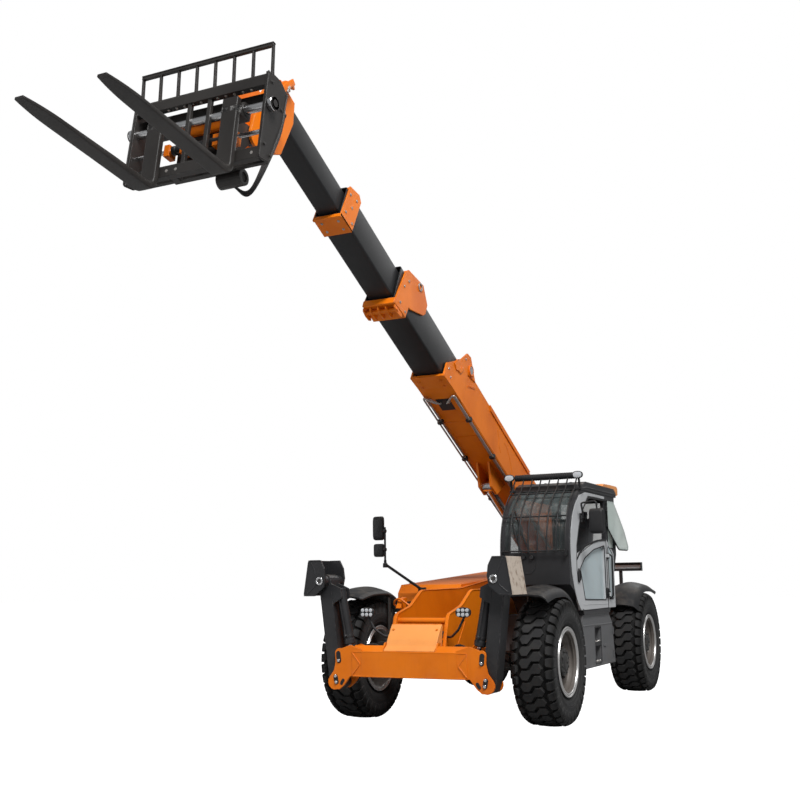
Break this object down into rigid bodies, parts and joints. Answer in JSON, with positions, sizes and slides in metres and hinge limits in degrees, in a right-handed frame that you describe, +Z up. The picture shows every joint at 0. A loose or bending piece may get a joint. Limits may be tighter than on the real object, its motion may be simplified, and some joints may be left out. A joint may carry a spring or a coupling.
{
  "type": "telehandler",
  "caption": "Rough-terrain telescopic handler with a raised telescopic boom, fork carriage, side cab, four steered wheels and folding front stabilisers.",
  "frame": {"origin": "on the ground under the middle of the bounding box", "axes": "+Z up, +X to the operator's left (cab side), the forks reach out towards -Y"},
  "size_m": [2.64, 10.231, 5.2133],
  "materials": {
    "orange_paint": "satin orange paint",
    "charcoal_paint": "satin charcoal paint",
    "boom_paint": "semi-gloss near-black paint",
    "carriage_paint": "satin dark grey-brown paint",
    "door_paint": "light grey paint",
    "black_plastic": "grained black plastic",
    "tyre": "new rubber",
    "rim_paint": "silver-beige paint",
    "bright_steel": "polished cylinder rod",
    "cast": "painted casting",
    "glass": "green-tinted safety glass",
    "seat_cloth": "black woven cloth"
  },
  "bodies": {
    "chassis": {"chassis_frame": "orange_paint", "nose_cover": "orange_paint", "stabilizer_beam": "orange_paint", "counterweight": "charcoal_paint", "engine_hood": "orange_paint", "engine_block": "cast", "side_box": "charcoal_paint", "front_axle": "cast", "rear_axle": "cast", "cab_body": "charcoal_paint", "cab_roof": "charcoal_paint", "roof_cap": "orange_paint", "windscreen": "glass", "quarter_glass": "glass", "right_glass": "glass", "rear_glass": "glass", "cab_guard": "black_plastic", "seat": "seat_cloth", "steering_column": "black_plastic", "mirror_left": "black_plastic", "mirror_right": "black_plastic"},
    "knuckle_front_left": {"knuckle_front_left": "cast", "fender_front_left": "black_plastic"},
    "wheel_front_left": {"tyre_front_left": "tyre", "rim_front_left": "rim_paint"},
    "knuckle_front_right": {"knuckle_front_right": "cast", "fender_front_right": "black_plastic"},
    "wheel_front_right": {"tyre_front_right": "tyre", "rim_front_right": "rim_paint"},
    "knuckle_rear_left": {"knuckle_rear_left": "cast", "fender_rear_left": "black_plastic"},
    "wheel_rear_left": {"tyre_rear_left": "tyre", "rim_rear_left": "rim_paint"},
    "knuckle_rear_right": {"knuckle_rear_right": "cast", "fender_rear_right": "black_plastic"},
    "wheel_rear_right": {"tyre_rear_right": "tyre", "rim_rear_right": "rim_paint"},
    "boom_outer": {"boom_outer": "orange_paint"},
    "boom_second": {"boom_second": "boom_paint"},
    "boom_third": {"boom_third": "boom_paint"},
    "boom_fourth": {"boom_fourth": "boom_paint", "boom_head": "orange_paint"},
    "lift_barrel": {"lift_barrel": "orange_paint"},
    "lift_rod": {"lift_rod": "bright_steel"},
    "carriage": {"tool_carrier": "orange_paint", "fork_carriage": "carriage_paint"},
    "fork_left": {"fork_left": "carriage_paint"},
    "fork_right": {"fork_right": "carriage_paint"},
    "stabilizer_left": {"leg_left": "charcoal_paint"},
    "foot_left": {"foot_left": "charcoal_paint"},
    "leg_rod_left": {"leg_rod_left": "bright_steel"},
    "stabilizer_right": {"leg_right": "charcoal_paint"},
    "foot_right": {"foot_right": "charcoal_paint"},
    "leg_rod_right": {"leg_rod_right": "bright_steel"},
    "door": {"door_lower": "door_paint", "door_glass": "glass"},
    "door_window": {"upper_window": "glass"}
  },
  "joints": [
    {"name": "steer_front_left", "type": "hinge", "parent": "chassis", "child": "knuckle_front_left", "pos_m": [0.64, 0.54549, 0.597], "axis": [0, 0, 1], "range_deg": [-35, 35]},
    {"name": "steer_front_right", "type": "hinge", "parent": "chassis", "child": "knuckle_front_right", "pos_m": [-0.88, 0.54549, 0.597], "axis": [0, 0, 1], "range_deg": [-35, 35]},
    {"name": "steer_rear_left", "type": "hinge", "parent": "chassis", "child": "knuckle_rear_left", "pos_m": [0.64, 3.95549, 0.597], "axis": [0, 0, 1], "range_deg": [-35, 35]},
    {"name": "steer_rear_right", "type": "hinge", "parent": "chassis", "child": "knuckle_rear_right", "pos_m": [-0.88, 3.95549, 0.597], "axis": [0, 0, 1], "range_deg": [-35, 35]},
    {"name": "wheel_spin_front_left", "type": "hinge", "parent": "knuckle_front_left", "child": "wheel_front_left", "pos_m": [0.88, 0.54549, 0.597], "axis": [-1, 0, 0], "continuous": true},
    {"name": "wheel_spin_front_right", "type": "hinge", "parent": "knuckle_front_right", "child": "wheel_front_right", "pos_m": [-1.12, 0.54549, 0.597], "axis": [-1, 0, 0], "continuous": true},
    {"name": "wheel_spin_rear_left", "type": "hinge", "parent": "knuckle_rear_left", "child": "wheel_rear_left", "pos_m": [0.88, 3.95549, 0.597], "axis": [-1, 0, 0], "continuous": true},
    {"name": "wheel_spin_rear_right", "type": "hinge", "parent": "knuckle_rear_right", "child": "wheel_rear_right", "pos_m": [-1.12, 3.95549, 0.597], "axis": [-1, 0, 0], "continuous": true},
    {"name": "boom_lift", "type": "hinge", "parent": "chassis", "child": "boom_outer", "pos_m": [-0.12, 4.74549, 1.37], "axis": [-1, 0, 0], "range_deg": [-26.3, 43.7]},
    {"name": "boom_extend", "type": "slide", "parent": "boom_outer", "child": "boom_second", "axis": [0, -0.8965, 0.4431], "range_m": [-0.85, 2.4]},
    {"name": "boom_extend_third", "type": "slide", "parent": "boom_second", "child": "boom_third", "axis": [0, -0.8965, 0.4431], "range_m": [-0.85, 2.4]},
    {"name": "boom_extend_fourth", "type": "slide", "parent": "boom_third", "child": "boom_fourth", "axis": [0, -0.8965, 0.4431], "range_m": [-0.85, 2.4]},
    {"name": "lift_barrel_swing", "type": "hinge", "parent": "chassis", "child": "lift_barrel", "pos_m": [-0.12, 4.39549, 0.93], "axis": [-1, 0, 0], "range_deg": [-26.53, 44.02]},
    {"name": "lift_rod_slide", "type": "slide", "parent": "lift_barrel", "child": "lift_rod", "axis": [0, -0.8819, 0.4714], "range_m": [-0.2407, 0.3986]},
    {"name": "fork_tilt", "type": "hinge", "parent": "boom_fourth", "child": "carriage", "pos_m": [-0.12, -3.23899, 4.62459], "axis": [1, 0, 0], "range_deg": [-31, 95]},
    {"name": "fork_shift_left", "type": "slide", "parent": "carriage", "child": "fork_left", "axis": [1, 0, 0], "range_m": [-0.14, 0.15]},
    {"name": "fork_shift_right", "type": "slide", "parent": "carriage", "child": "fork_right", "axis": [-1, 0, 0], "range_m": [-0.14, 0.15]},
    {"name": "stabilizer_fold_left", "type": "hinge", "parent": "chassis", "child": "stabilizer_left", "pos_m": [0.64, -0.39951, 0.454], "axis": [0, 1, 0], "range_deg": [0, 105]},
    {"name": "foot_swivel_left", "type": "hinge", "parent": "stabilizer_left", "child": "foot_left", "pos_m": [0.75906, -0.39951, 1.38341], "axis": [0, 1, 0], "range_deg": [-25, 10]},
    {"name": "leg_rod_slide_left", "type": "slide", "parent": "stabilizer_left", "child": "leg_rod_left", "axis": [-0.1942, 0, -0.981], "range_m": [0, 0.3923]},
    {"name": "stabilizer_fold_right", "type": "hinge", "parent": "chassis", "child": "stabilizer_right", "pos_m": [-0.88, -0.39951, 0.454], "axis": [0, -1, 0], "range_deg": [0, 105]},
    {"name": "foot_swivel_right", "type": "hinge", "parent": "stabilizer_right", "child": "foot_right", "pos_m": [-0.99906, -0.39951, 1.38341], "axis": [0, -1, 0], "range_deg": [-25, 10]},
    {"name": "leg_rod_slide_right", "type": "slide", "parent": "stabilizer_right", "child": "leg_rod_right", "axis": [0.1942, 0, -0.981], "range_m": [0, 0.3923]},
    {"name": "door_swing", "type": "hinge", "parent": "chassis", "child": "door", "pos_m": [1.036, 2.26149, 1.4], "axis": [0, 0, 1], "range_deg": [0, 110]},
    {"name": "door_window_swing", "type": "hinge", "parent": "chassis", "child": "door_window", "pos_m": [1.036, 2.26149, 2.05], "axis": [0, 0, 1], "range_deg": [-178, 0]}
  ],
  "couplings": [
    {"joint": "steer_front_right", "follows": "steer_front_left", "ratio": 1},
    {"joint": "steer_rear_right", "follows": "steer_rear_left", "ratio": 1},
    {"joint": "boom_extend_third", "follows": "boom_extend", "ratio": 1},
    {"joint": "boom_extend_fourth", "follows": "boom_extend", "ratio": 1},
    {"joint": "lift_barrel_swing", "follows": "boom_lift", "ratio": 1.005},
    {"joint": "lift_rod_slide", "follows": "boom_lift", "m_per_rad": 0.52},
    {"joint": "leg_rod_slide_left", "follows": "stabilizer_fold_left", "m_per_rad": 0.213},
    {"joint": "leg_rod_slide_right", "follows": "stabilizer_fold_right", "m_per_rad": 0.213}
  ]
}
